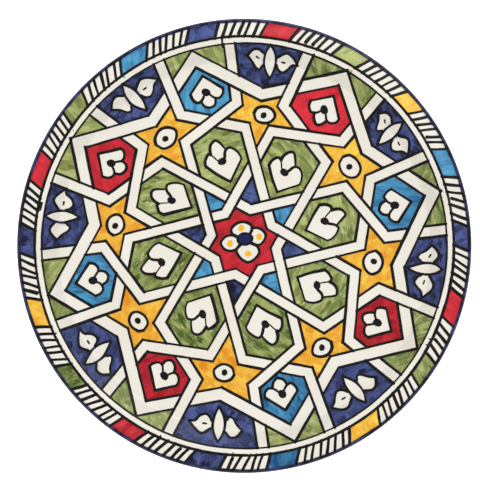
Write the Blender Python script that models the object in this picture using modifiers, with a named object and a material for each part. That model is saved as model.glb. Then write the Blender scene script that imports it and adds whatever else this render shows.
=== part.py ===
"""Hand painted ceramic serving plate, as a Blender 4.5 script.

Metres, +Z up.  The origin is the centre of the plane that the foot ring rests on, and the painted face looks
up along +Z.  A turned body with a luted foot ring carries thin separate coats: white glaze on the face and
on the back, a cobalt band round the lip, two painted ring lines, the black outlines of an interlaced
eight-fold strapwork rosette, and one coat of coloured glaze in each large field that the straps enclose.
"""

from math import cos, pi, radians, sin, tan

import bmesh
import bpy
from mathutils import Vector

# Clay body
PLATE_RADIUS = 0.175
RIM_WIDTH = 0.0145  # from the lip in to the crest, the rim's highest line
WALL_WIDTH = 0.0195  # from the crest in to the edge of the flat floor
WALL_ANGLE = radians(40)
RIM_ANGLE = radians(28)  # how steeply the rim falls where the lip's nose starts
KNUCKLE_ROUND = 0.006  # hollow round between floor and wall
CREST_ROUND = 0.012  # round from the wall over the crest
LIP_ROUND = 0.0026  # nose of the lip, half the rim's thickness
FLOOR_THICKNESS = 0.0065
FOOT_HEIGHT = 0.009
FOOT_RADIUS = 0.098  # outer edge of the foot ring
FOOT_WIDTH = 0.009
FOOT_DRAFT = 0.0015  # how far each side of the foot slopes in
FOOT_EDGE = 0.001  # small round on the resting face

# Coats
GAP = 0.0003  # clearance between pieces that touch
GLAZE = 0.0005
ENAMEL = 0.0004
FOOT_MARGIN = 0.003  # bare clay left beside the foot ring

# Painted ring lines on the face
INNER_RING_WIDTH = 0.0012
INNER_RING_BELOW = 0.0047  # from the crest in to the ring's centre line
OUTER_RING_WIDTH = 0.0018
OUTER_RING_BEYOND = 0.0005  # from the crest out to the ring's centre line

# Rosette: bends of the strap centre lines, as (share of the inner ring's radius, degrees clockwise from a
# star's axis)
SECTORS = 8
ROSETTE_CENTRE = Vector((-0.0003, 0.002))
ROSETTE_TURN = -7.45  # degrees from +X to the first star's axis
STRAP_WIDTH = 0.0086
LINE_WIDTH = 0.0016
BENDS = {
    "hub": (0.169, 4.0),
    "waist_left": (0.578, -6.4),
    "waist_right": (0.576, 8.3),
    "hip_right": (0.7035, 10.3),
    "hip_left": (0.7015, 36.0),
    "notch": (0.748, 1.2),
    "peak": (0.949, 23.5),
    "end_right": (1.12, 12.5),
    "end_left": (1.12, 34.0),
}

HOLE_INSET = (STRAP_WIDTH + LINE_WIDTH) / 2  # from a strap's centre line to the outside of its outline
FIELD_INSET = HOLE_INSET + GAP

SEGMENTS = 48

CREST_RADIUS = PLATE_RADIUS - RIM_WIDTH
WELL_RADIUS = CREST_RADIUS - WALL_WIDTH
INNER_RING_RADIUS = CREST_RADIUS - INNER_RING_BELOW
OUTER_RING_RADIUS = CREST_RADIUS + OUTER_RING_BEYOND
FLOOR = FOOT_HEIGHT + FLOOR_THICKNESS
KNUCKLE = Vector((WELL_RADIUS, FLOOR + KNUCKLE_ROUND))
WALL_FOOT = KNUCKLE + KNUCKLE_ROUND * Vector((sin(WALL_ANGLE), -cos(WALL_ANGLE)))
WALL_TOP_RADIUS = CREST_RADIUS - CREST_ROUND * sin(WALL_ANGLE)
WALL_TOP = Vector((WALL_TOP_RADIUS, WALL_FOOT.y + (WALL_TOP_RADIUS - WALL_FOOT.x) * tan(WALL_ANGLE)))
CREST_Z = WALL_TOP.y + CREST_ROUND * (1 - cos(WALL_ANGLE))
LIP = PLATE_RADIUS - GLAZE - GAP - LIP_ROUND
RIM_ROUND = LIP_ROUND + (LIP - CREST_RADIUS) / sin(RIM_ANGLE)


# ---------------------------------------------------------------- turned profiles


def arc(centre, radius, start, end, steps):
    """Points of an arc about centre, in a plane of (radius, height); angles are from +radius."""
    angles = [start + (end - start) * i / steps for i in range(steps + 1)]
    return [centre + radius * Vector((cos(angle), sin(angle))) for angle in angles]


def face_points(lift):
    """The face's profile, lifted off the clay along its normal, from the axis to the lip's nose."""
    crest = Vector((CREST_RADIUS, CREST_Z - CREST_ROUND))
    rim = Vector((CREST_RADIUS, CREST_Z - RIM_ROUND))
    points = [Vector((0, FLOOR + lift))]
    points += arc(KNUCKLE, KNUCKLE_ROUND - lift, -pi / 2, WALL_ANGLE - pi / 2, 2)
    points += arc(crest, CREST_ROUND + lift, pi / 2 + WALL_ANGLE, pi / 2, 3)
    points += arc(rim, RIM_ROUND + lift, pi / 2, pi / 2 - RIM_ANGLE, 3)[1:]
    return points


def nose_points(lift, start, end):
    """Round of the lip between two angles below the rim's top edge."""
    centre = Vector((LIP, CREST_Z - RIM_ROUND + (RIM_ROUND - LIP_ROUND) * cos(RIM_ANGLE)))
    top = pi / 2 - RIM_ANGLE
    return arc(centre, LIP_ROUND + lift, top - start, top - end, 6)


def back_points(lift):
    """The underside's profile, lifted off the clay, from the lip's nose in to the edge of the flat floor."""
    crest = Vector((CREST_RADIUS, CREST_Z - CREST_ROUND))
    rim = Vector((CREST_RADIUS, CREST_Z - RIM_ROUND))
    wall = 2 * LIP_ROUND + lift
    points = arc(rim, RIM_ROUND - wall, pi / 2 - RIM_ANGLE, pi / 2, 2)
    points += arc(crest, CREST_ROUND - wall, pi / 2, pi / 2 + WALL_ANGLE, 2)[1:]
    outside = KNUCKLE_ROUND + FLOOR_THICKNESS + lift
    return points + arc(KNUCKLE, outside, WALL_ANGLE - pi / 2, -pi / 2, 2)


def foot_points():
    """The foot ring's profile, from its outer root down to its resting face and up its inner side."""
    inner = FOOT_RADIUS - FOOT_WIDTH
    root = FOOT_HEIGHT - GAP
    return [
        Vector((FOOT_RADIUS + FOOT_DRAFT, root)),
        Vector((FOOT_RADIUS, FOOT_EDGE)),
        Vector((FOOT_RADIUS - FOOT_EDGE, 0)),
        Vector((inner + FOOT_EDGE, 0)),
        Vector((inner, FOOT_EDGE)),
        Vector((inner - FOOT_DRAFT, root)),
    ]


def between(points, start, end):
    """The stretch of a profile between two radii, with a point put in at each."""
    stretch = []
    for a, b in zip(points, points[1:]):
        for radius in (start, end):
            if a.x < radius < b.x:
                stretch.append(a.lerp(b, (radius - a.x) / (b.x - a.x)))
        if start <= b.x <= end:
            stretch.append(b)
    if points[0].x >= start:
        stretch.insert(0, points[0])
    return sorted(stretch, key=lambda point: point.x)


# ---------------------------------------------------------------- plane figures of the rosette


def meet(a, b, c, d):
    """Where the line through a and b crosses the line through c and d."""
    along, other = b - a, d - c
    return a + along * ((c - a).cross(other) / along.cross(other))


def beside(a, b, distance):
    """The line from a to b moved to its left by distance."""
    side = (b - a).normalized().orthogonal() * distance
    return a + side, b + side


def bend(name, sector):
    """A bend of the strap centre lines, in the plate's plane."""
    share, clockwise = BENDS[name]
    angle = radians(ROSETTE_TURN + sector * 360 / SECTORS - clockwise)
    return ROSETTE_CENTRE + share * INNER_RING_RADIUS * Vector((cos(angle), sin(angle)))


def hub_run(sector, side):
    """A strap's straight run from the hub of a sector to the waist beside the next star, on either side."""
    waist = "waist_right" if side < 0 else "waist_left"
    return bend("hub", sector), bend(waist, sector + side)


def waist_run(sector, side):
    """A strap's straight run between waist and hip, from the star on either side of a sector's shield."""
    if side < 0:
        return bend("waist_right", sector), bend("hip_left", sector)
    return bend("waist_left", sector - 1), bend("hip_right", sector)


def end_run(sector, side):
    """A strap's straight run from the hip out to the ring, on either side of a star."""
    if side < 0:
        return bend("hip_right", sector), bend("end_right", sector)
    return bend("hip_left", sector + 1), bend("end_left", sector + 1)


def zigzag_run(sector, side):
    """A straight run of the outer zigzag strap, from the notch of a star to the peak on either side."""
    return bend("notch", sector), bend("peak", sector if side < 0 else sector + 1)


def hub_crossing(sector):
    return meet(*hub_run(sector, -1), *hub_run(sector - 1, 1))


def star_foot(sector):
    return meet(*hub_run(sector + 1, -1), *hub_run(sector - 1, 1))


def arm_crossing(sector):
    return meet(*waist_run(sector, -1), *waist_run(sector, 1))


def shoulder(sector, side):
    return meet(*end_run(sector, side), *zigzag_run(sector, side))


def inset(outline, distance):
    """A closed outline, listed clockwise, moved in by distance."""
    count = len(outline)
    sides = [beside(outline[i], outline[(i + 1) % count], -distance) for i in range(count)]
    return [meet(*sides[i - 1], *sides[i]) for i in range(count)]


def strap(points, start_under, end_under):
    """The white inside of a stretch of strap, cut off square or where it passes under another strap."""
    half = (STRAP_WIDTH - LINE_WIDTH) / 2
    runs = list(zip(points, points[1:]))
    sides = []
    for offset in (half, -half):
        lines = [beside(a, b, offset) for a, b in runs]
        side = [meet(*one, *other) for one, other in zip(lines, lines[1:])]
        for under, line, end, first in ((start_under, lines[0], 0, True), (end_under, lines[-1], 1, False)):
            corner = line[end]
            if under:
                over = nearest_edge(under, points[1] if first else points[-2])
                corner = meet(*line, *over)
            side.insert(0 if first else len(side), corner)
        sides.append(side)
    return sides[0] + sides[1][::-1]


def nearest_edge(run, point):
    """The outer edge of the outline of a strap that crosses on top, on the side where point is."""
    edges = [beside(*run, offset) for offset in (HOLE_INSET, -HOLE_INSET)]
    return min(edges, key=lambda edge: (edge[0].lerp(edge[1], 0.5) - point).length)


def hub_star():
    outline = []
    for sector in range(0, -SECTORS, -1):
        outline += [bend("hub", sector), hub_crossing(sector)]
    return outline


def kite(sector):
    return [bend("hub", sector), hub_crossing(sector + 1), star_foot(sector), hub_crossing(sector)]


def shield(sector):
    return [
        hub_crossing(sector),
        star_foot(sector),
        bend("waist_right", sector),
        arm_crossing(sector),
        bend("waist_left", sector - 1),
        star_foot(sector - 1),
    ]


def star(sector):
    return [
        star_foot(sector),
        bend("waist_left", sector),
        arm_crossing(sector + 1),
        bend("hip_left", sector + 1),
        shoulder(sector, 1),
        bend("notch", sector),
        shoulder(sector, -1),
        bend("hip_right", sector),
        arm_crossing(sector),
        bend("waist_right", sector),
    ]


def hexagon(sector):
    return [
        arm_crossing(sector),
        bend("hip_right", sector),
        shoulder(sector, -1),
        bend("peak", sector),
        shoulder(sector - 1, 1),
        bend("hip_left", sector),
    ]


def butterfly_field(sector):
    return [
        bend("notch", sector),
        shoulder(sector, 1),
        bend("end_left", sector + 1),
        bend("end_right", sector),
        shoulder(sector, -1),
    ]


def ring_corners(sector):
    """Both small fields beside a peak, which meet outside the ring."""
    return [
        shoulder(sector, -1),
        bend("end_right", sector),
        bend("end_left", sector),
        shoulder(sector - 1, 1),
        bend("peak", sector),
    ]


def straps(sector):
    """The strap stretches that start in a sector, each from one crossing where it dips under to the next."""
    before, after = sector + 1, sector - 1
    arm_over = waist_run(before + 1, -1)
    foot_over = hub_run(after - 1, 1)
    peak_over = zigzag_run(after - 1, 1)
    return [
        strap([bend("end_right", before + 1), bend("hip_right", before + 1), arm_crossing(before + 1)],
              None, arm_over),
        strap([arm_crossing(before + 1), bend("waist_left", before), hub_crossing(before)],
              arm_over, hub_run(before, -1)),
        strap([hub_crossing(before), bend("hub", sector), star_foot(after)],
              hub_run(before, -1), foot_over),
        strap([star_foot(after), bend("waist_right", after), bend("hip_left", after), shoulder(after - 1, 1)],
              foot_over, peak_over),
        strap([shoulder(after - 1, 1), bend("end_left", after)], peak_over, None),
        strap([shoulder(sector, -1), bend("peak", sector), bend("notch", after), shoulder(after, -1)],
              end_run(sector, -1), end_run(after, -1)),
    ]


# ---------------------------------------------------------------- objects


def clear_scene():
    for obj in list(bpy.data.objects):
        bpy.data.objects.remove(obj)


def collection(name):
    made = bpy.data.collections.new(name)
    bpy.context.scene.collection.children.link(made)
    return made


def material(name, colour, roughness):
    made = bpy.data.materials.new(name)
    made.use_nodes = True
    shader = made.node_tree.nodes["Principled BSDF"]
    shader.inputs["Base Color"].default_value = (*colour, 1)
    shader.inputs["Roughness"].default_value = roughness
    return made


def add_object(name, data, group, finish=None):
    obj = bpy.data.objects.new(name, data)
    group.objects.link(obj)
    if finish:
        data.materials.append(finish)
    return obj


def turned(name, profile, group, finish=None, thickness=0.0):
    """A profile of (radius, height) turned about the Z axis; with a thickness, a coat that grows outwards."""
    mesh = bpy.data.meshes.new(name)
    edges = [(i, i + 1) for i in range(len(profile) - 1)]
    if profile[0].x > 0 and not thickness:
        edges.append((len(profile) - 1, 0))
    mesh.from_pydata([(point.x, 0, point.y) for point in profile], edges, [])
    obj = add_object(name, mesh, group, finish)
    screw = obj.modifiers.new("Turn", "SCREW")
    screw.steps = screw.render_steps = SEGMENTS
    screw.use_merge_vertices = True
    screw.merge_threshold = 0.00001
    screw.use_smooth_shade = True
    if thickness:
        solidify = obj.modifiers.new("Coat", "SOLIDIFY")
        solidify.thickness = thickness
        solidify.offset = 1
    return obj


def plate_curve(name, outlines, half_height, finish=None):
    """Flat figures in the plate's plane as one filled curve, with a thickness up and down."""
    curve = bpy.data.curves.new(name, "CURVE")
    curve.dimensions = "2D"
    curve.fill_mode = "BOTH"
    curve.extrude = half_height
    for outline in outlines:
        spline = curve.splines.new("POLY")
        spline.points.add(len(outline) - 1)
        for point, place in zip(spline.points, outline):
            point.co = (place.x, place.y, 0, 1)
        spline.use_cyclic_u = True
    if finish:
        curve.materials.append(finish)
    return curve


def prisms(name, outlines, group, finish=None):
    """Upright prisms through the whole face, as a mesh that a Boolean can use."""
    curve = plate_curve(name, outlines, 2 * FLOOR)
    source = add_object(name + "_outline", curve, group)
    source.location.z = FLOOR
    bpy.context.view_layer.update()
    mesh = bpy.data.meshes.new_from_object(source.evaluated_get(bpy.context.evaluated_depsgraph_get()))
    welded = bmesh.new()
    welded.from_mesh(mesh)
    bmesh.ops.remove_doubles(welded, verts=welded.verts, dist=0.000001)
    bmesh.ops.recalc_face_normals(welded, faces=welded.faces)
    welded.to_mesh(mesh)
    welded.free()
    obj = add_object(name, mesh, group, finish)
    obj.matrix_world = source.matrix_world
    bpy.data.objects.remove(source)
    return obj


def hide(obj):
    obj.hide_render = True
    obj.display_type = "WIRE"


def boolean(obj, operation, other):
    modifier = obj.modifiers.new(operation.title(), "BOOLEAN")
    modifier.operation = operation
    modifier.solver = "EXACT"
    modifier.object = other


def enamel_skin(name, group, finish=None):
    """Coat over the whole painted face inside the inner ring line, with its flat floor in one face."""
    outer = INNER_RING_RADIUS - INNER_RING_WIDTH / 2 - GAP
    skin = turned(name, between(face_points(GAP + GLAZE + GAP), 0, outer), group, finish, ENAMEL)
    flat = skin.modifiers.new("Flat floor", "DECIMATE")
    flat.decimate_type = "DISSOLVE"
    flat.angle_limit = radians(0.5)
    return skin


def ring_line(name, radius, width, group, finish):
    profile = between(face_points(GAP + GLAZE + GAP), radius - width / 2, radius + width / 2)
    turned(name, profile, group, finish, ENAMEL)


def body(group):
    clay = material("biscuit", (0.62, 0.47, 0.34), 0.85)
    profile = face_points(0) + nose_points(0, 0, pi)[1:-1] + back_points(0)
    turned("clay_body", profile + [Vector((0, FOOT_HEIGHT))], group, clay)
    turned("foot_ring", foot_points(), group, clay)


def glazes(group):
    white = material("white_glaze", (0.86, 0.83, 0.75), 0.12)
    cobalt = material("cobalt_lip", (0.03, 0.05, 0.2), 0.15)
    clearance = GAP / LIP_ROUND
    turned("face_glaze", face_points(GAP), group, white, GLAZE)
    turned("lip_band", nose_points(GAP, clearance, pi - clearance), group, cobalt, GLAZE)
    bare = FOOT_RADIUS + FOOT_DRAFT + FOOT_MARGIN
    turned("back_glaze", back_points(GAP) + [Vector((bare, FOOT_HEIGHT - GAP))], group, white, GLAZE)
    inside = FOOT_RADIUS - FOOT_WIDTH - FOOT_DRAFT - FOOT_MARGIN
    centre = [Vector((inside, FOOT_HEIGHT - GAP)), Vector((0, FOOT_HEIGHT - GAP))]
    turned("foot_well_glaze", centre, group, white, GLAZE)


def linework(group, cutters):
    black = material("black_line", (0.012, 0.012, 0.014), 0.2)
    ring_line("inner_ring_line", INNER_RING_RADIUS, INNER_RING_WIDTH, group, black)
    ring_line("outer_ring_line", OUTER_RING_RADIUS, OUTER_RING_WIDTH, group, black)
    holes = [inset(hub_star(), HOLE_INSET)]
    for sector in range(SECTORS):
        figures = (kite, shield, star, hexagon, butterfly_field, ring_corners)
        holes += [inset(figure(sector), HOLE_INSET) for figure in figures]
        holes += straps(sector)
    cutter = prisms("line_cutter", holes, cutters)
    hide(cutter)
    boolean(enamel_skin("strapwork_outline", group, black), "DIFFERENCE", cutter)


def flat_field(name, outline, group, finish):
    obj = add_object(name, plate_curve(name, [outline], ENAMEL / 2, finish), group)
    obj.location.z = FLOOR + GAP + GLAZE + GAP + ENAMEL / 2


def fields(group, cutters):
    red = material("red_enamel", (0.55, 0.02, 0.04), 0.15)
    navy = material("navy_enamel", (0.03, 0.05, 0.25), 0.15)
    turquoise = material("turquoise_enamel", (0.02, 0.25, 0.5), 0.15)
    green = material("green_enamel", (0.2, 0.28, 0.06), 0.15)
    yellow = material("yellow_enamel", (0.85, 0.5, 0.04), 0.15)
    skin = enamel_skin("enamel_coat", cutters)
    hide(skin)
    flat_field("hub_star", inset(hub_star(), FIELD_INSET), group, red)
    for sector in range(SECTORS):
        number = sector + 1
        even = sector % 2 == 0
        flat_field(f"kite_{number}", inset(kite(sector), FIELD_INSET), group, navy if even else turquoise)
        flat_field(f"shield_{number}", inset(shield(sector), FIELD_INSET), group, green)
        flat_field(f"star_{number}", inset(star(sector), FIELD_INSET), group, yellow)
        field = inset(hexagon(sector), FIELD_INSET)
        boolean(prisms(f"hexagon_{number}", [field], group, red if even else turquoise), "INTERSECT", skin)
        field = inset(butterfly_field(sector), FIELD_INSET)
        boolean(prisms(f"butterfly_field_{number}", [field], group, navy), "INTERSECT", skin)


def main():
    clear_scene()
    group = collection("painted_plate")
    cutters = collection("cutters")
    body(group)
    glazes(group)
    linework(group, cutters)
    fields(group, cutters)


main()
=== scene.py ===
"""Looks of the hand painted plate: glazes, brushed fields and black brush lines, laid on the CAD frame.

Metres, +Z up.  Painted shapes are drawn in the plate's plane, then laid on the glazed face by on_face().
"""

from math import asin, atan2, ceil, cos, hypot, pi, radians, sin, sqrt, tan
from random import Random

import bmesh
import bpy
import numpy as np
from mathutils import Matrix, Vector, noise
from mathutils.geometry import delaunay_2d_cdt


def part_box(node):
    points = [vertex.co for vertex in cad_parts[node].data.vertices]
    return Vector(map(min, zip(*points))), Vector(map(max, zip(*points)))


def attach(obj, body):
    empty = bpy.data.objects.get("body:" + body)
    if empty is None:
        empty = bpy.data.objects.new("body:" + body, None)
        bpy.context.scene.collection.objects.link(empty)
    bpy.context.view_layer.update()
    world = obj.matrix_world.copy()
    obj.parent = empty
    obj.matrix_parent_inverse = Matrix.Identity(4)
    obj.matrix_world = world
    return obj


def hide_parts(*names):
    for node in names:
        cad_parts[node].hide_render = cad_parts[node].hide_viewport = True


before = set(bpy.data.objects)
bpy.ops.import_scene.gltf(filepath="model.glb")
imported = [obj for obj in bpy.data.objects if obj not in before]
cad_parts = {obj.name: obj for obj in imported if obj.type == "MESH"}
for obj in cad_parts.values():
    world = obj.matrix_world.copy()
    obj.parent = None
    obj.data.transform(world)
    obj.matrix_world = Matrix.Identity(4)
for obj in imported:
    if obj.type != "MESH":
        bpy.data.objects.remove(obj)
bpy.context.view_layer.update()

noise.seed_set(1)  # noise_vector would otherwise change from run to run

MM = 0.001

# ---- sizes, from the frame where it holds them

GAP = 0.3 * MM  # between the CAD coats
GLAZE = 0.5 * MM
TOP = GAP + GLAZE  # glazed face above the clay
PLATE_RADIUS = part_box("lip_band")[1].x
CLAY_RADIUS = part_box("clay_body")[1].x
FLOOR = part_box("hub_star")[0].z - 2 * GAP - GLAZE
CREST_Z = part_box("clay_body")[1].z
FOOT_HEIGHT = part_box("foot_ring")[1].z + GAP
FOOT_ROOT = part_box("foot_ring")[1].x
RIM_WIDTH = 14.5 * MM
WALL_WIDTH = 19.5 * MM
WALL_ANGLE = radians(40)
RIM_ANGLE = radians(28)
KNUCKLE_ROUND = 6 * MM
CREST_ROUND = 12 * MM
LIP_ROUND = 2.6 * MM
FOOT_WIDTH = 9 * MM
FOOT_DRAFT = 1.5 * MM
FOOT_EDGE = 1 * MM
FOOT_MARGIN = 3 * MM

CREST_RADIUS = PLATE_RADIUS - RIM_WIDTH
WELL_RADIUS = CREST_RADIUS - WALL_WIDTH
LIP = CLAY_RADIUS - LIP_ROUND
RIM_ROUND = LIP_ROUND + (LIP - CREST_RADIUS) / sin(RIM_ANGLE)
THICKNESS = FLOOR - FOOT_HEIGHT

# Centres of the three arcs of the clay's face, as (radius, height)
KNUCKLE = Vector((WELL_RADIUS, FLOOR + KNUCKLE_ROUND))
CREST = Vector((CREST_RADIUS, CREST_Z - CREST_ROUND))
RIM = Vector((CREST_RADIUS, CREST_Z - RIM_ROUND))

INNER_RING_WIDTH = 1.2 * MM
OUTER_RING_WIDTH = 1.8 * MM
INNER_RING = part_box("inner_ring_line")[1].x - INNER_RING_WIDTH / 2
OUTER_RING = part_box("outer_ring_line")[1].x - OUTER_RING_WIDTH / 2
LIP_EDGE = PLATE_RADIUS - 3.1 * MM  # inner edge of the cobalt band

PAINT = 0.10 * MM  # coloured coats above the glazed face
LINE_EDGE = 0.13 * MM  # sides of the black lines above the glazed face
LINE_DOME = 0.03 * MM
SUNK = 0.12 * MM  # how far paint reaches down into the glaze

SEGMENTS = 360
SHARP_ANGLE = radians(35)
BACK_GLAZE = 0.75 * MM  # outer side of the back's glaze, below the clay
BITE = 0.05 * MM  # how far glaze and foot reach into the clay
# Radii of the white face's rings, which lie closer where the face bends
FACE_RADII = [4 * MM * i for i in range(35)]
FACE_RADII += [138.5 * MM + 0.5 * MM * i for i in range(18)]
FACE_RADII += [148 * MM + 1 * MM * i for i in range(25)]

# ---- the painter's rosette

SECTORS = 8
ROSETTE_CENTRE = Vector((-0.3, 2.0)) * MM
ROSETTE_TURN = -7.45
LINE_WIDTH = 1.65 * MM
HUB_HALF = 4.1 * MM  # half of a strap's width between its lines, for each of its four kinds of run
WAIST_HALF = 4.3 * MM
END_HALF = 4.4 * MM
ZIGZAG_HALF = 4.9 * MM

# Bends of the strap centre lines: share of the inner ring's radius, degrees clockwise from the star's axis
BENDS = {
    "hub": (0.169, 4.0),
    "waist_left": (0.578, -6.4),
    "waist_right": (0.576, 8.3),
    "hip_right": (0.7035, 10.3),
    "hip_left": (0.7015, 36.0),
    "notch": (0.748, 1.2),
    "peak": (0.949, 23.5),
    "end_right": (0.99, 12.4),
    "end_left": (0.99, 34.3),
}

# How far the painter's hand strayed at each bend, sector by sector: millimetres outward and clockwise
SLIPS = {
    "hub": [(-1, -1), (-1, 0), (0, 0), (0.5, 0.5), (-0.5, 1), (-1, 2), (-1.5, 2), (-2, 0.5)],
    "waist_left": [(-0.5, 0), (-1, -1), (-1, -0.5), (-1.5, -2), (-1.5, 2), (-1, 1), (-0.5, -0.5), (-1, 0.5)],
    "waist_right": [(-1.5, -1), (-1, 0), (-1, -3), (0, -1.5), (1, 1), (-0.5, 1.5), (0.5, 1.5), (0.5, 1.5)],
    "hip_right": [(0.5, 2), (-0.5, 1), (0.5, -3), (0.5, 2), (-0.5, 0), (0, 3), (1.5, 3), (1.5, 1.5)],
    "hip_left": [(0.5, -1.5), (0.5, -2), (-0.5, 1), (-1, -2.5), (-1.5, 0), (-1, 0), (0.5, 1), (1, -4.5)],
    "notch": [(3.5, -0.5), (2.5, -2), (-1, -3.5), (1, -1), (-0.5, -3), (-0.5, 0), (1, 0), (-1.5, -2)],
    "peak": [(1.5, 0.5), (2.5, -2), (0.5, 0), (-1, -3), (1.5, 0.5), (1, -2), (2, 2.5), (3, -1)],
    "end_right": [(0, 0), (0, -1.5), (0, -3), (0, 0), (0, -2.5), (0, 3.5), (0, 5), (0, 1)],
    "end_left": [(0, -0.5), (0, -1.5), (0, 3), (0, -2.5), (0, -1), (0, 0), (0, 2.5), (0, -5.5)],
}


# ---- the turned form


def ripple(x, y):
    """Slow unevenness of a hand turned and glazed face."""
    return 0.09 * MM * noise.noise(Vector((x, y, 0)) / (55 * MM))


def glazed(radius):
    """Height of the glazed face at a radius, and how steeply it climbs outwards there."""
    knuckle = KNUCKLE_ROUND - TOP
    crest = CREST_ROUND + TOP
    rim = RIM_ROUND + TOP
    wall_foot = WELL_RADIUS + knuckle * sin(WALL_ANGLE)
    wall_top = CREST_RADIUS - crest * sin(WALL_ANGLE)
    if radius <= WELL_RADIUS:
        return FLOOR + TOP, 0.0
    if radius <= wall_foot:
        slope = asin((radius - WELL_RADIUS) / knuckle)
        return FLOOR + TOP + knuckle * (1 - cos(slope)), slope
    if radius <= wall_top:
        start = FLOOR + TOP + knuckle * (1 - cos(WALL_ANGLE))
        return start + (radius - wall_foot) * tan(WALL_ANGLE), WALL_ANGLE
    if radius <= CREST_RADIUS:
        slope = asin((CREST_RADIUS - radius) / crest)
        return CREST_Z + TOP - crest * (1 - cos(slope)), slope
    slope = asin(min(1, (radius - CREST_RADIUS) / rim))
    return CREST_Z + TOP - rim * (1 - cos(slope)), -slope


def on_face(x, y, lift=0.0):
    """The point of the face over a plan point, lifted along the face's normal."""
    radius = hypot(x, y)
    height, slope = glazed(radius)
    shrink = 1 - sin(slope) * lift / radius if radius else 1
    return Vector((x * shrink, y * shrink, height + ripple(x, y) + cos(slope) * lift))


def waver(angle, seed, pace):
    """Unevenness round a circle, which comes back to where it began."""
    return noise.noise(Vector((cos(angle), sin(angle), seed)) * pace)


def arc(centre, radius, start, end, steps):
    """Points of an arc in a plane of (radius, height)."""
    angles = [start + (end - start) * i / steps for i in range(steps + 1)]
    return [centre + radius * Vector((cos(angle), sin(angle))) for angle in angles]


def clay_face(lift):
    """Profile of the clay's face from the axis to the lip's nose, lifted along its normal."""
    points = [Vector((0, FLOOR + lift))]
    points += arc(KNUCKLE, KNUCKLE_ROUND - lift, -pi / 2, WALL_ANGLE - pi / 2, 8)
    points += arc(CREST, CREST_ROUND + lift, pi / 2 + WALL_ANGLE, pi / 2, 10)
    return points + arc(RIM, RIM_ROUND + lift, pi / 2, pi / 2 - RIM_ANGLE, 8)[1:]


def nose(lift, start, end, steps=18):
    """Profile of the lip's nose between two angles below the rim's top edge."""
    centre = Vector((LIP, CREST_Z - RIM_ROUND + (RIM_ROUND - LIP_ROUND) * cos(RIM_ANGLE)))
    top = pi / 2 - RIM_ANGLE
    return arc(centre, LIP_ROUND + lift, top - start, top - end, steps)


def clay_back(lift):
    """Profile of the underside from the lip's nose in to the flat floor."""
    wall = 2 * LIP_ROUND + lift
    points = arc(RIM, RIM_ROUND - wall, pi / 2 - RIM_ANGLE, pi / 2, 8)
    points += arc(CREST, CREST_ROUND - wall, pi / 2, pi / 2 + WALL_ANGLE, 8)[1:]
    return points + arc(KNUCKLE, KNUCKLE_ROUND + THICKNESS + lift, WALL_ANGLE - pi / 2, -pi / 2, 10)


# ---- mesh building


def finished(name, solid, material, slot, *nodes):
    """Makes a visible piece of a bmesh, rides it on the root and hides the CAD nodes that it replaces. The
    slot is not used.
    """
    bmesh.ops.recalc_face_normals(solid, faces=solid.faces)
    mesh = bpy.data.meshes.new(name)
    solid.to_mesh(mesh)
    solid.free()
    mesh.shade_smooth()
    mesh.set_sharp_from_angle(angle=SHARP_ANGLE)
    mesh.materials.append(material)
    piece = bpy.data.objects.new(name, mesh)
    bpy.context.scene.collection.objects.link(piece)
    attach(piece, "root")
    if nodes:
        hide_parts(*nodes)


def revolve(section):
    """A solid turned about the Z axis. section(angle) gives (radius, height) points: a closed outline, or
    one that is open from axis to axis."""
    solid = bmesh.new()
    rings = []
    poles = {}
    for i in range(SEGMENTS):
        angle = 2 * pi * i / SEGMENTS
        ring = []
        for j, (radius, height) in enumerate(section(angle)):
            if radius == 0:
                if j not in poles:
                    poles[j] = solid.verts.new((0, 0, height))
                ring.append(poles[j])
            else:
                ring.append(solid.verts.new((radius * cos(angle), radius * sin(angle), height)))
        rings.append(ring)
    count = len(rings[0])
    steps = range(count - 1) if poles else range(count)
    for i in range(SEGMENTS):
        one, other = rings[i - 1], rings[i]
        for j in steps:
            corners = [one[j], other[j], other[(j + 1) % count], one[(j + 1) % count]]
            solid.faces.new(list(dict.fromkeys(corners)))
    return solid


def resampled(path, step):
    """A path of plan points with points added so that none are further apart than step."""
    points = [path[0]]
    for a, b in zip(path, path[1:]):
        pieces = max(1, ceil((b - a).length / step))
        points += [a.lerp(b, i / pieces) for i in range(1, pieces + 1)]
    return points


def smooth(points, steps=7):
    """A Catmull-Rom curve through a few plan points."""
    ends = [2 * points[0] - points[1]] + points + [2 * points[-1] - points[-2]]
    curve = []
    for a, b, c, d in zip(ends, ends[1:], ends[2:], ends[3:]):
        for i in range(steps):
            t = i / steps
            curve.append(0.5 * (2 * b + (c - a) * t + (2 * a - 5 * b + 4 * c - d) * t ** 2
                                + (3 * b - a - 3 * c + d) * t ** 3))
    return curve + [points[-1]]


ACROSS = (-1, -0.8, -0.4, 0, 0.4, 0.8, 1)


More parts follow.
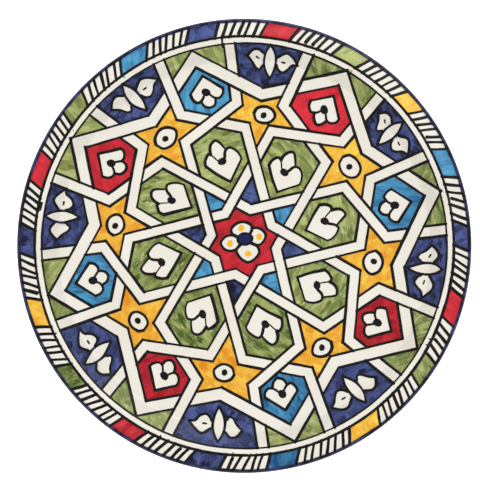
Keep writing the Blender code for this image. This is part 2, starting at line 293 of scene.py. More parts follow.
def brush(solid, path, start, end, rng, wander=0.16 * MM, step=1.4 * MM):
    """One stroke of a loaded brush along a path of plan points, as wide as start at one end and end at the
    other: a low domed band with round ends, which strays and swells a little."""
    path = resampled(path, step)
    lengths = [0.0]
    for a, b in zip(path, path[1:]):
        lengths.append(lengths[-1] + (b - a).length)
    total = lengths[-1]
    seed = rng.uniform(0, 1000)
    load = rng.uniform(0.92, 1.1)
    lift = rng.uniform(0, 0.03 * MM)

    def centre(distance):
        last = len(path) - 2
        i = next((i for i in range(last) if distance <= lengths[i + 1]), last)
        share = (distance - lengths[i]) / (lengths[i + 1] - lengths[i])
        return path[i].lerp(path[i + 1], share), (path[i + 1] - path[i]).normalized()

    radius = min(start, end) / 2
    caps = [radius * (1 - cos(turn * pi)) - radius for turn in (0.12, 0.25, 0.37, 0.5)]
    stops = caps + [distance for distance in lengths[1:-1] if 0.3 * MM < distance < total - 0.3 * MM]
    stops += [total - cap for cap in reversed(caps)]
    rings = []
    for distance in stops:
        reached = min(max(distance, 0), total)
        place, along = centre(reached)
        place = place + along * (distance - reached)
        beyond = abs(distance - reached)
        width = (start + (end - start) * reached / total) * load
        width *= 1 + 0.16 * noise.noise(Vector((reached / (7 * MM), seed, 0)))
        half = width / 2 * sqrt(max(0.02, 1 - (beyond / radius) ** 2))
        side = Vector((-along.y, along.x))
        place = place + side * wander * noise.noise(Vector((reached / (16 * MM), 0, seed)))
        ring = []
        for across in ACROSS:
            spot = place + side * half * across
            dome = LINE_DOME * sqrt(1 - across ** 2) * min(1, half / (0.5 * MM))
            ring.append(solid.verts.new(on_face(spot.x, spot.y, LINE_EDGE + lift + dome)))
        for across in (1, -1):
            spot = place + side * half * across
            ring.append(solid.verts.new(on_face(spot.x, spot.y, -SUNK)))
        rings.append(ring)
    count = len(rings[0])
    for one, other in zip(rings, rings[1:]):
        for j in range(count):
            solid.faces.new((one[j], other[j], other[(j + 1) % count], one[(j + 1) % count]))
    solid.faces.new(rings[0])
    solid.faces.new(rings[-1][::-1])


def blot(solid, centre, radius, rng, stretch=1.07, height=0.0, turn=None):
    """A round dab of the brush: a low dome, a little uneven."""
    seed = rng.uniform(0, 1000)
    if turn is None:
        turn = rng.uniform(0, pi)
    count = 28
    level = LINE_EDGE + height
    rise = LINE_DOME * 1.3
    rings = []
    for share in (1, 0.86, 0.55):
        ring = []
        for i in range(count):
            angle = 2 * pi * i / count
            reach = radius * share * (1 + 0.12 * waver(angle, seed, 1))
            spot = Vector((cos(angle) * stretch, sin(angle) / stretch)) * reach
            spot = centre + Vector((spot.x * cos(turn) - spot.y * sin(turn),
                                    spot.x * sin(turn) + spot.y * cos(turn)))
            ring.append(solid.verts.new(on_face(spot.x, spot.y, level + rise * sqrt(1 - share ** 2))))
        rings.append(ring)
    base = [solid.verts.new(on_face(vert.co.x, vert.co.y, -SUNK)) for vert in rings[0]]
    peak = solid.verts.new(on_face(centre.x, centre.y, level + rise))
    for one, other in zip([base] + rings, rings):
        for i in range(count):
            solid.faces.new((one[i - 1], one[i], other[i], other[i - 1]))
    for i in range(count):
        solid.faces.new((rings[-1][i - 1], rings[-1][i], peak))
    solid.faces.new(base[::-1])


def enclosed(points, outline, holes):
    """For each plan point, whether it lies inside an outline and in none of its holes."""
    found = inside(points, outline)
    for hole in holes:
        found &= ~inside(points, hole)
    return found


def inside(points, outline):
    """For each plan point, whether it lies inside a closed outline."""
    x, y = points[:, 0], points[:, 1]
    found = np.zeros(len(points), bool)
    ends = np.array([(p.x, p.y) for p in outline])
    for (ax, ay), (bx, by) in zip(ends, np.roll(ends, -1, axis=0)):
        spans = (ay > y) != (by > y)
        if spans.any():
            crossing = ax + (y - ay) / (by - ay if by != ay else 1) * (bx - ax)
            found ^= spans & (x < crossing)
    return found


def uneven(outline, amount, rng, step=1.3 * MM):
    """A closed outline resampled, its edge strayed a little in and out as a brushed edge does."""
    points = resampled(outline + [outline[0]], step)[:-1]
    seed = rng.uniform(0, 1000)
    return [p + amount * noise.noise_vector(Vector((p.x, p.y, 0)) / (5 * MM) + Vector((0, 0, seed))).xy
            for p in points]


def coat(outline, holes, spacing, stroke_angle, tone_and_shade, rng):
    """A brushed coat on the face inside an outline, open where its holes are, as a closed thin solid.
    Its points carry the place along and across the brush strokes, the tone with its painted shade, and the
    way in from the edge."""
    loops = [outline] + holes
    points = [point for loop in loops for point in loop]
    edges = []
    for loop in loops:
        first = len(edges)
        count = len(loop)
        edges += [(first + i, first + (i + 1) % count) for i in range(count)]
    rim = np.array([(p.x, p.y) for p in points])
    low, high = rim.min(0), rim.max(0)
    grid = np.array([(low[0] + (i + 0.5 * (j % 2)) * spacing, low[1] + j * spacing * 0.87)
                     for i in range(int((high[0] - low[0]) / spacing) + 1)
                     for j in range(int((high[1] - low[1]) / spacing / 0.87) + 1)])

    def to_edge(spot):
        return np.hypot(*(rim - spot).T).min()

    grid = grid[enclosed(grid, outline, holes)]
    if len(grid):
        grid = grid[np.array([to_edge(spot) for spot in grid]) > 0.5 * spacing]
    places = points + [Vector(spot) for spot in grid.tolist()]
    verts, _, faces, *_ = delaunay_2d_cdt(places, edges, [], 0, 1e-7)
    flat = np.array([(p.x, p.y) for p in verts])
    centres = np.array([flat[list(face)].mean(0) for face in faces])
    faces = [face for face, kept in zip(faces, enclosed(centres, outline, holes)) if kept]
    used = sorted({i for face in faces for i in face})
    way_in = {i: float(to_edge(flat[i])) for i in used}
    solid = bmesh.new()
    brushing = solid.verts.layers.float_vector.new("brush")
    toning = solid.verts.layers.float.new("tone_and_shade")
    edging = solid.verts.layers.float.new("edge")
    turn = Vector((cos(stroke_angle), sin(stroke_angle)))
    shift = rng.uniform(0, 400)
    sheets = []
    for lift in (PAINT, -SUNK):
        sheet = {}
        for i in used:
            x, y = flat[i]
            thin = 0.35 if lift > 0 and way_in[i] < 0.2 * MM else 1
            vert = solid.verts.new(on_face(x, y, lift * thin))
            vert[brushing] = ((x * turn.x + y * turn.y) / MM, (y * turn.x - x * turn.y) / MM, shift)
            # the tone holds painted shade as well as the paint's own unevenness
            vert[toning] = tone_and_shade
            vert[edging] = way_in[i] / MM
            sheet[i] = vert
        sheets.append(sheet)
    top, bottom = sheets
    sides = {}
    for face in faces:
        solid.faces.new([top[i] for i in face])
        solid.faces.new([bottom[i] for i in reversed(face)])
        for a, b in zip(face, face[1:] + face[:1]):
            sides[frozenset((a, b))] = None if frozenset((a, b)) in sides else (a, b)
    for side in sides.values():
        if side:
            a, b = side
            solid.faces.new((top[b], top[a], bottom[a], bottom[b]))
    return solid


# ---- plane figures of the rosette


def meet(one, other):
    """Where two lines cross, each given by two of its points."""
    a, b = one[:2]
    c, d = other[:2]
    along, across = b - a, d - c
    return a + along * ((c - a).cross(across) / along.cross(across))


def beside(run, distance):
    """A run moved to its left by distance."""
    a, b = run[:2]
    side = (b - a).normalized().orthogonal() * distance
    return a + side, b + side


def polar(clockwise_from_top, radius):
    angle = radians(90 - clockwise_from_top)
    return Vector((cos(angle), sin(angle))) * radius


def bend(name, sector):
    share, clockwise = BENDS[name]
    outward, aside = SLIPS[name][sector % SECTORS]
    angle = radians(ROSETTE_TURN + sector * 360 / SECTORS - clockwise)
    radial = Vector((cos(angle), sin(angle)))
    place = ROSETTE_CENTRE + (share * INNER_RING + outward * MM) * radial
    return place + aside * MM * Vector((radial.y, -radial.x))


def hub_run(sector, side):
    waist = "waist_right" if side < 0 else "waist_left"
    return bend("hub", sector), bend(waist, sector + side), HUB_HALF


def waist_run(sector, side):
    if side < 0:
        return bend("waist_right", sector), bend("hip_left", sector), WAIST_HALF
    return bend("waist_left", sector - 1), bend("hip_right", sector), WAIST_HALF


def end_run(sector, side):
    if side < 0:
        return bend("hip_right", sector), bend("end_right", sector), END_HALF
    return bend("hip_left", sector + 1), bend("end_left", sector + 1), END_HALF


def zigzag_run(sector, side):
    return bend("notch", sector), bend("peak", sector if side < 0 else sector + 1), ZIGZAG_HALF


def hub_crossing(sector):
    return meet(hub_run(sector, -1), hub_run(sector - 1, 1))


def star_foot(sector):
    return meet(hub_run(sector + 1, -1), hub_run(sector - 1, 1))


def arm_crossing(sector):
    return meet(waist_run(sector, -1), waist_run(sector, 1))


def shoulder(sector, side):
    return meet(end_run(sector, side), zigzag_run(sector, side))


def inset(points, halves):
    """A closed figure, listed clockwise, with each side moved in by half of its strap's width."""
    count = len(points)
    sides = [beside((points[i], points[(i + 1) % count]), -halves[i]) for i in range(count)]
    return [meet(sides[i - 1], sides[i]) for i in range(count)]


def hub_star():
    points = []
    for sector in range(0, -SECTORS, -1):
        points += [bend("hub", sector), hub_crossing(sector)]
    return inset(points, [HUB_HALF] * 16)


def kite(sector):
    points = [bend("hub", sector), hub_crossing(sector + 1), star_foot(sector), hub_crossing(sector)]
    return inset(points, [HUB_HALF] * 4)


def shield(sector):
    points = [hub_crossing(sector), star_foot(sector), bend("waist_right", sector), arm_crossing(sector),
              bend("waist_left", sector - 1), star_foot(sector - 1)]
    return inset(points, [HUB_HALF, HUB_HALF, WAIST_HALF, WAIST_HALF, HUB_HALF, HUB_HALF])


def star(sector):
    points = [star_foot(sector), bend("waist_left", sector), arm_crossing(sector + 1),
              bend("hip_left", sector + 1), shoulder(sector, 1), bend("notch", sector), shoulder(sector, -1),
              bend("hip_right", sector), arm_crossing(sector), bend("waist_right", sector)]
    half = [HUB_HALF, WAIST_HALF, WAIST_HALF, END_HALF, ZIGZAG_HALF]
    return inset(points, half + half[::-1])


def hexagon(sector):
    points = [arm_crossing(sector), bend("hip_right", sector), shoulder(sector, -1), bend("peak", sector),
              shoulder(sector - 1, 1), bend("hip_left", sector)]
    return inset(points, [WAIST_HALF, END_HALF, ZIGZAG_HALF, ZIGZAG_HALF, END_HALF, WAIST_HALF])


def to_ring(inner, outer):
    """Where the line from a point inside the inner ring out through another crosses the ring."""
    along = (outer - inner).normalized()
    half = inner.dot(along)
    return inner + along * (sqrt(half ** 2 - inner.length_squared + INNER_RING ** 2) - half)


def ring_arc(a, b):
    """Points along the inner ring between two of its points, the short way."""
    start = atan2(a.y, a.x)
    turn = (atan2(b.y, b.x) - start + pi) % (2 * pi) - pi
    steps = max(2, ceil(abs(turn) * INNER_RING / (2 * MM)))
    return [INNER_RING * Vector((cos(start + turn * i / steps), sin(start + turn * i / steps)))
            for i in range(steps + 1)]


def butterfly_field(sector):
    left, right = end_run(sector, 1), end_run(sector, -1)
    notch_left, notch_right = zigzag_run(sector, 1), zigzag_run(sector, -1)
    left_side = beside(left, -END_HALF)
    right_side = beside(right, END_HALF)
    low_left = beside(notch_left, -ZIGZAG_HALF)
    low_right = beside(notch_right, ZIGZAG_HALF)
    corner_left, corner_right = meet(left_side, low_left), meet(right_side, low_right)
    sky = ring_arc(to_ring(corner_left, left_side[1]), to_ring(corner_right, right_side[1]))
    return [meet(low_left, low_right), corner_left] + sky + [corner_right]


def ring_corner(sector, side):
    """The small field at the ring on one side of a peak."""
    star_sector = sector if side < 0 else sector - 1
    end = beside(end_run(star_sector, side), side * END_HALF)
    slant = beside(zigzag_run(star_sector, side), -side * ZIGZAG_HALF)
    other_sector = sector - 1 if side < 0 else sector
    other = beside(zigzag_run(other_sector, -side), side * ZIGZAG_HALF)
    foot = meet(end, slant)
    peak = meet(slant, other)
    sky = to_ring(foot, peak)
    if peak.length < INNER_RING:
        return [foot] + ring_arc(to_ring(foot, end[1]), peak.normalized() * INNER_RING) + [peak]
    return [foot] + ring_arc(to_ring(foot, end[1]), sky)


def nearest_line(run, point):
    """The line on that side of a strap's run where point is."""
    lines = [beside(run, offset) for offset in (run[2], -run[2])]
    return min(lines, key=lambda line: (line[0].lerp(line[1], 0.5) - point).length)


def strap_lines(points, halves, start_under, end_under):
    """The two side lines of a stretch of strap, which end at the ring or where it dips under another."""
    runs = list(zip(points, points[1:], halves))
    lines = []
    for side in (1, -1):
        moved = [beside(run, side * run[2]) for run in runs]
        line = [meet(one, other) for one, other in zip(moved, moved[1:])]
        if start_under:
            line.insert(0, meet(moved[0], nearest_line(start_under, points[1])))
        else:
            line.insert(0, to_ring(line[0], moved[0][0]))
        if end_under:
            line.append(meet(moved[-1], nearest_line(end_under, points[-2])))
        else:
            line.append(to_ring(moved[-1][0], moved[-1][1]))
        lines.append(line)
    return lines


def straps(sector):
    """Side lines of the strap stretches that start in a sector, each from one dip under to the next."""
    before, after = sector + 1, sector - 1
    arm_over = waist_run(before + 1, -1)
    foot_over = hub_run(after - 1, 1)
    peak_over = zigzag_run(after - 1, 1)
    return [
        *strap_lines([bend("end_right", before + 1), bend("hip_right", before + 1), arm_crossing(before + 1)],
                     [END_HALF, WAIST_HALF], None, arm_over),
        *strap_lines([arm_crossing(before + 1), bend("waist_left", before), hub_crossing(before)],
                     [WAIST_HALF, HUB_HALF], arm_over, hub_run(before, -1)),
        *strap_lines([hub_crossing(before), bend("hub", sector), star_foot(after)],
                     [HUB_HALF, HUB_HALF], hub_run(before, -1), foot_over),
        *strap_lines([star_foot(after), bend("waist_right", after), bend("hip_left", after),
                      shoulder(after - 1, 1)],
                     [HUB_HALF, WAIST_HALF, END_HALF], foot_over, peak_over),
        *strap_lines([shoulder(after - 1, 1), bend("end_left", after)],
                     [END_HALF], peak_over, None),
        *strap_lines([shoulder(sector, -1), bend("peak", sector), bend("notch", after), shoulder(after, -1)],
                     [ZIGZAG_HALF, ZIGZAG_HALF, ZIGZAG_HALF], end_run(sector, -1), end_run(after, -1)),
    ]


# ---- materials


class Finish:
    """A procedural material, built node by node round one Principled shader."""

    def __init__(self, name, **values):
        self.material = bpy.data.materials.new(name)
        self.material.use_nodes = True
        self.tree = self.material.node_tree
        self.shader = self.tree.nodes["Principled BSDF"]
        for socket, value in values.items():
            self.shader.inputs[socket.replace("_", " ")].default_value = value

    def add(self, kind, inputs=None, **settings):
        node = self.tree.nodes.new("ShaderNode" + kind)
        for name, value in settings.items():
            setattr(node, name, value)
        for key, value in (inputs or {}).items():
            self.put(node.inputs[key], value)
        return node

    def put(self, socket, value):
        """Links a node's output to a socket, or sets the socket's own value."""
        if isinstance(value, bpy.types.NodeSocket):
            self.tree.links.new(value, socket)
        else:
            socket.default_value = value

    def vector(self, operation, a, b):
        key = "Scale" if operation == "SCALE" else 1
        return self.add("VectorMath", {0: a, key: b}, operation=operation).outputs[0]

    def point(self):
        """The place on the piece, in millimetres."""
        return self.vector("SCALE", self.add("TexCoord").outputs["Object"], 1000.0)

    def brushed(self, along, across):
        """The place in the brush strokes, shrunk along and across them."""
        place = self.add("Attribute", attribute_name="brush").outputs["Vector"]
        return self.vector("MULTIPLY", place, (1 / along, 1 / across, 1.0))

    def noise(self, place, scale, detail=2.0, roughness=0.5):
        inputs = {"Vector": place, "Scale": scale, "Detail": detail, "Roughness": roughness}
        return self.add("TexNoise", inputs).outputs["Fac"]

    def math(self, operation, a, b):
        return self.add("Math", {0: a, 1: b}, operation=operation).outputs[0]

    def fit(self, value, low, high, to_low=0.0, to_high=1.0):
        inputs = {"Value": value, "From Min": low, "From Max": high, "To Min": to_low, "To Max": to_high}
        return self.add("MapRange", inputs).outputs["Result"]

    def mix(self, factor, one, other):
        node = self.add("Mix", data_type="RGBA")
        sockets = {socket.identifier: socket for socket in node.inputs}
        for name, value in (("Factor_Float", factor), ("A_Color", one), ("B_Color", other)):
            self.put(sockets[name], value)
        return next(socket for socket in node.outputs if socket.identifier == "Result_Color")

    def drive(self, socket, value):
        self.tree.links.new(value, self.shader.inputs[socket])

    def painted(self, colour, gloss, smoothest, roughest, relief, depth):
        """The material, its shader driven by a colour, a pattern of roughness and a relief in millimetres."""
        self.drive("Base Color", colour)
        self.drive("Roughness", self.fit(gloss, 0.3, 0.7, smoothest, roughest))
        bump = self.add("Bump", {"Height": relief, "Distance": depth * MM, "Strength": 1.0})
        self.drive("Normal", bump.outputs["Normal"])
        return self.material


def shown(red, green, blue):
    """A colour as it shows under the studio light, as the shader's linear colour."""
    parts = [part / 255 for part in (red, green, blue)]
    linear = [part / 12.92 if part < 0.04045 else ((part + 0.055) / 1.055) ** 2.4 for part in parts]
    return (*linear, 1.0)


def white_glaze():
    """Warm white tin glaze: faint clouding, sparse iron specks, pin-fine orange peel."""
    finish = Finish("white_glaze", IOR=1.5)
    place = finish.point()
    cloud = finish.fit(finish.noise(place, 0.03, 3.0), 0.3, 0.7)
    colour = finish.mix(cloud, shown(236, 230, 217), shown(243, 238, 227))
    speckle = finish.add("TexVoronoi", {"Vector": place, "Scale": 0.16}).outputs["Distance"]
    size = finish.fit(finish.noise(place, 0.11, 0.0), 0.5, 0.8, 0.0, 0.10)
    speck = finish.math("LESS_THAN", speckle, size)
    colour = finish.mix(finish.math("MULTIPLY", speck, 0.45), colour, shown(150, 130, 105))
    return finish.painted(colour, finish.noise(place, 0.4), 0.14, 0.24, finish.noise(place, 0.35), 0.02)


def enamel(name, deep, pale, stroke, contrast=2.0, gaps=0.0):
    """Brushed colour. Dabs as long and wide as stroke, in millimetres, overlap in lighter and darker patches,
    with streaks along them, cloudy pooling and a darker edge; with gaps, the coat is thin in spots."""
    long, wide = stroke
    finish = Finish(name, IOR=1.42)
    place = finish.brushed(long, wide)
    sway = finish.add("TexNoise", {"Vector": place, "Scale": 0.8, "Detail": 1.0}).outputs["Color"]
    swayed = finish.vector("ADD", place, finish.vector("SCALE", sway, 1.1))
    dabs = finish.add("TexVoronoi", {"Vector": swayed, "Scale": 1.0, "Smoothness": 0.25}, feature="SMOOTH_F1")
    streak = finish.noise(finish.brushed(long * 1.5, wide * 0.4), 1.0, 3.0, 0.6)
    cloud = finish.noise(swayed, 0.5, 3.0, 0.55)
    tone_and_shade = finish.add("Attribute", attribute_name="tone_and_shade").outputs["Fac"]
    edge = finish.add("Attribute", attribute_name="edge").outputs["Fac"]
    body = finish.math("ADD", finish.math("MULTIPLY", streak, 0.3), finish.math("MULTIPLY", cloud, 0.4))
    body = finish.math("ADD", body, finish.math("MULTIPLY", dabs.outputs["Color"], 0.3))
    body = finish.fit(body, 0.5 - 0.5 / contrast, 0.5 + 0.5 / contrast)
    # the tone makes the coat paler or darker: partly the paint's own unevenness, partly painted shade
    body = finish.fit(finish.math("ADD", body, tone_and_shade), 0.0, 1.0)
    colour = finish.mix(body, deep, pale)
    if gaps:
        thin = finish.noise(finish.brushed(long * 0.9, wide * 0.6), 1.0, 2.0, 0.55)
        thin = finish.fit(thin, 0.57, 0.70, 0.0, gaps)
        bare = tuple(0.5 * part + 0.5 * white for part, white in zip(pale, shown(238, 232, 205)))
        colour = finish.mix(thin, colour, bare)
    pooled = tuple(part * 0.82 for part in deep[:3]) + (1.0,)
    colour = finish.mix(finish.fit(edge, 0.4, 2.2, 0.3, 0.0), colour, pooled)
    return finish.painted(colour, streak, 0.14, 0.26, streak, 0.03)


def coloured_enamels():
    """Each colour's material and slot."""
    kinds = {
        "red": ((146, 6, 20), (228, 46, 60), (8, 4)),
        "navy": ((1, 2, 40), (78, 93, 152), (5, 4), 3.2),
        "turquoise": ((0, 66, 116), (88, 170, 214), (9, 4), 2.2),
        "green": ((66, 86, 18), (182, 192, 116), (8, 3.5), 2.8, 0.6),
        "yellow": ((226, 140, 12), (255, 216, 84), (6, 4), 2.2),
        "dab": ((255, 186, 30), (255, 206, 60), (3, 3)),
        "heart": ((6, 10, 72), (30, 40, 110), (3, 3)),
    }
    slots = {"dab": "yellow_enamel", "heart": "navy_enamel"}
    return {colour: (enamel(f"{colour}_enamel", shown(*deep), shown(*pale), *rest),
                     slots.get(colour, f"{colour}_enamel"))
            for colour, (deep, pale, *rest) in kinds.items()}


def black_line():
    """Black oxide line, denser where the brush was loaded."""
    finish = Finish("black_line", IOR=1.32)
    place = finish.point()
    load = finish.noise(place, 0.25, 3.0)
    colour = finish.mix(finish.fit(load, 0.35, 0.75), shown(8, 8, 9), shown(26, 25, 26))
    return finish.painted(colour, load, 0.2, 0.34, finish.noise(place, 1.1), 0.02)


def cobalt_lip():
    """Cobalt brushed round the lip, thin in places."""
    finish = Finish("cobalt_lip", IOR=1.35)
    place = finish.point()
    thin = finish.noise(place, 0.09, 4.0, 0.6)
    colour = finish.mix(finish.fit(thin, 0.42, 0.72), shown(10, 10, 28), shown(62, 72, 122))
    return finish.painted(colour, thin, 0.16, 0.28, finish.noise(place, 0.5), 0.03)


def bare_clay():
    """Fired earthenware with turning marks and grog."""
    finish = Finish("bare_clay", IOR=1.45)
    place = finish.point()
    grain = finish.noise(place, 0.9, 4.0, 0.6)
    patch = finish.noise(place, 0.03, 2.0)
    tint = finish.math("ADD", finish.math("MULTIPLY", grain, 0.5), finish.math("MULTIPLY", patch, 0.5))
    colour = finish.mix(finish.fit(tint, 0.35, 0.65), shown(170, 122, 88), shown(216, 178, 140))
    grog = finish.add("TexVoronoi", {"Vector": place, "Scale": 0.55}).outputs["Distance"]
    colour = finish.mix(finish.math("LESS_THAN", grog, 0.14), colour, shown(128, 92, 70))
    flat = finish.vector("MULTIPLY", place, (1.0, 1.0, 0.0))
    reach = finish.add("VectorMath", {0: flat}, operation="LENGTH").outputs["Value"]
    marks = finish.math("SINE", finish.math("MULTIPLY", reach, 4.2), 0.0)
    relief = finish.math("ADD", finish.math("MULTIPLY", marks, 0.3), grain)
    return finish.painted(colour, grain, 0.7, 0.9, relief, 0.08)


def studio_floor():
    finish = Finish("studio_floor", Roughness=0.7, Emission_Color=(1, 1, 1, 1), Emission_Strength=0.8)
    cloud = finish.noise(finish.add("TexCoord").outputs["Object"], 2.0)
    finish.drive("Base Color", finish.mix(cloud, (0.93, 0.93, 0.93, 1), (0.95, 0.95, 0.95, 1)))
    return finish.material


# ---- turned pieces


def turned_pieces(clay, white, cobalt):
    inner = FOOT_ROOT - FOOT_DRAFT - FOOT_WIDTH
    outline = clay_face(0) + nose(0, 0, pi)[1:-1] + clay_back(0) + [Vector((0, FOOT_HEIGHT))]
    body = revolve(lambda angle: outline)
    finished("turned_body", body, clay, "biscuit", "clay_body")

    def foot(angle):
        wave = 0.12 * MM * waver(angle, 7, 3)
        root = FOOT_HEIGHT + BITE
        outer = FOOT_ROOT - FOOT_DRAFT - 0.15 * MM + wave
        side = [Vector((FOOT_ROOT - 0.15 * MM, root)), Vector((outer, FOOT_EDGE))]
        toe = arc(Vector((outer - FOOT_EDGE, FOOT_EDGE)), FOOT_EDGE, 0, -pi / 2, 5)[1:]
        heel = arc(Vector((inner + FOOT_EDGE, FOOT_EDGE)), FOOT_EDGE, -pi / 2, -pi, 5)
        return side + toe + heel + [Vector((inner - FOOT_DRAFT, root))]

    finished("turned_foot", revolve(foot), clay, "biscuit", "foot_ring")

    def face(angle):
        points = []
        for radius in FACE_RADII:
            drop = 0.25 * MM * max(0, min(1, (radius - LIP_EDGE + MM) / MM))
            x, y = radius * cos(angle), radius * sin(angle)
            points.append((radius, on_face(x, y).z - drop))
        return points + [tuple(p) for p in reversed(clay_face(-BITE))]

    finished("white_face", revolve(face), white, "white_glaze", "face_glaze")

    low = FOOT_HEIGHT - BACK_GLAZE

    def back(angle):
        edge = FOOT_ROOT + FOOT_MARGIN + waver(angle, 3, 2.5) * 1.2 * MM
        ridges = [point + Vector((0, 0.05 * MM * sin(point.x / (1.6 * MM))))
                  for point in clay_back(BACK_GLAZE)]
        flat = [Vector((ridges[-1].x + (edge - ridges[-1].x) * i / 8, low)) for i in range(1, 8)]
        roll = [Vector((edge, FOOT_HEIGHT - 0.55 * MM)), Vector((edge - 0.4 * MM, FOOT_HEIGHT - 0.2 * MM)),
                Vector((edge - 0.5 * MM, FOOT_HEIGHT + BITE))]
        return ridges + flat + roll + clay_back(-BITE)[::-1]

    finished("white_back", revolve(back), white, "white_glaze", "back_glaze")

    def well(angle):
        edge = inner - FOOT_DRAFT - FOOT_MARGIN + waver(angle, 11, 2.5) * MM
        flat = [(edge * i / 12, low + 0.05 * MM * sin(i)) for i in range(12)]
        return flat + [(edge, low + 0.1 * MM), (edge + 0.3 * MM, low + 0.4 * MM),
                       (edge + 0.3 * MM, FOOT_HEIGHT + BITE), (0, FOOT_HEIGHT + BITE)]

    finished("white_foot_well", revolve(well), white, "white_glaze", "foot_well_glaze")

    def band(angle):
        around = Vector((cos(angle), sin(angle), 0))
        wave = 0.55 * noise.noise(around * 9) + 0.35 * noise.noise(around * 31)
        edge = LIP_EDGE + wave * 0.8 * MM
        start = nose(TOP, 0, pi, 2)[0].x
        points = []
        for i in range(5):
            radius = edge + (start - edge) * i / 5
            height, slope = glazed(radius)
            lift = 0.03 * MM + 0.09 * MM * min(1, i)
            ring = Vector((radius, height)) + lift * Vector((-sin(slope), cos(slope)))
            ring.y += ripple(radius * cos(angle), radius * sin(angle)) * (1 - i / 5)
            points.append(ring)
        points += nose(TOP - 0.01 * MM, 0.04, pi * 0.97)
        under = pi + 0.25 * noise.noise(around * 12 + Vector((0, 0, 5))) - 0.2
        points.append(nose(TOP - 0.25 * MM, 0, max(pi * 0.975, under), 1)[-1])
        return points + nose(-BITE, -0.25, pi * 0.97, 12)[::-1]

    finished("cobalt_band", revolve(band), cobalt, "cobalt_lip", "lip_band")


# ---- painted motifs


def frame_at(axis):
    """Returns a function that turns (clockwise, outward) millimetres on an axis of the rosette into a plan
    point."""
    angle = radians(axis)
    out = Vector((cos(angle), sin(angle)))
    aside = Vector((out.y, -out.x))
    return lambda clockwise, outward: ROSETTE_CENTRE + clockwise * MM * aside + outward * MM * out


def by_hand(at, rng, shift):
    """Returns a function that shifts and places points given in at's millimetres, each a little astray."""
    def near(*points, stray=0.3):
        return [at(v + shift[0] + rng.uniform(-stray, stray), u + shift[1] + rng.uniform(-stray, stray))
                for v, u in points]

    return near


def strokes(solid, rng, *lines):
    """Brush strokes one after another, each given as a path and its width in millimetres at both ends."""
    for path, start, end in lines:
        brush(solid, path, start * MM, end * MM, rng)


# How far each sector's tulip lies clockwise and outward of its usual place, in millimetres
TULIP_SHIFTS = [(-0.3, 0.4), (-0.4, 0), (-0.4, -1.7), (0, 0.8), (0.6, 0.4), (2.2, 0.6), (0, -1.3), (0, 0)]
TULIP_AXIS = -32
CHEVRON_AXIS = -31
STAR_AXIS = -8.45


def tulip(sector, lines, rng):
    """White tulip of a green shield: draws its lines and returns its bare outline."""
    shift = TULIP_SHIFTS[sector]
    at = frame_at(TULIP_AXIS + 45 * sector)
    near = by_hand(at, rng, shift)
    base, left = near((1.0, 48.2), (-15.1, 63.2), stray=0.5)
    lobe_left = near((-14.7, 67.4), (-13.0, 70.8), (-11.2, 71.9), (-9.6, 71.3))
    lobe_top = near((-9.4, 75.2), (-7.6, 79.2), (-4.1, 81.0), (-0.9, 78.7), (2.6, 73.6))
    stem = near((-1.0, 65.0), (0.4, 67.4), (1.5, 70.6), (3.3, 72.7), stray=0.2)
    lobe_right = near((6.3, 73.3), (9.6, 70.6), (11.9, 66.8), (12.9, 63.0))
    vein = near((-7.6, 68.8), (-5.2, 65.8), (-2.6, 64.8), stray=0.2)
    dot = at(-2.1 + shift[0], 64.5 + shift[1])
    left_curve = smooth([left] + lobe_left)
    top_curve = smooth([lobe_left[-1]] + lobe_top)
    right_curve = smooth(stem + lobe_right)
    middle = left.lerp(base, 0.5)
    heel = middle + rng.uniform(-0.8, 0.5) * MM * (dot - middle).normalized()
    heel_curve = smooth([left, heel, base])
    strokes(lines, rng, (heel_curve, 2.5, 2.1), ([base, lobe_right[-1]], 1.8, 1.5), (left_curve, 2.6, 2.3),
            (top_curve, 2.6, 1.4), (smooth([lobe_left[-1]] + vein), 1.2, 1.0), (right_curve, 2.4, 1.4))
    blot(lines, dot, 3.1 * MM, rng, 1.12)
    return ([base] + heel_curve[::-1][1:] + left_curve[1:] + top_curve[1:]
            + smooth([stem[-1]] + lobe_right))


def chevron(sector, lines, rng):
    """White chevron with a drop, in a hexagon: draws its lines and returns its bare outline."""
    at = frame_at(CHEVRON_AXIS + 45 * sector)
    shift = (rng.uniform(-0.6, 0.6), rng.uniform(-0.5, 0.5))
    near = by_hand(at, rng, shift)
    tip, left, right = near((0.5, 132.6), (-12.4, 120.3), (13.6, 119.6), stray=0.5)
    left_lobe = near((-11.4, 116.6), (-8.6, 113.4), (-5.4, 113.8))
    right_lobe = near((12.6, 116.0), (9.4, 113.4), (6.1, 113.5))
    drop = near((-3.6, 109.5), (0.5, 107.1), (4.4, 109.1))
    left_curl = near((-3.4, 115.4), (-1.6, 118.2), stray=0.2)
    right_curl = near((4.2, 115.3), (1.8, 118.2), stray=0.2)
    bottom = smooth([left_lobe[-1]] + drop + [right_lobe[-1]])
    strokes(lines, rng, ([left, tip], 1.8, 2.2), ([tip, right], 2.0, 2.3),
            (smooth([left] + left_lobe + left_curl), 2.2, 1.7),
            (smooth([right] + right_lobe + right_curl), 2.2, 1.7), (bottom, 2.1, 2.1))
    blot(lines, at(-0.1 + shift[0], 119.6 + shift[1]), 3.25 * MM, rng, 1.1)
    return ([tip, right] + smooth([right] + right_lobe)[1:] + bottom[::-1][1:]
            + smooth([left] + left_lobe)[::-1][1:])


# Span of each sector's butterfly, and the place it grows about, in millimetres from the rosette's centre
BUTTERFLY_SPANS = [1.08, 1.04, 1.05, 1.1, 1.05, 1.1, 1.1, 1.1]
BUTTERFLY_REACH = 141.5


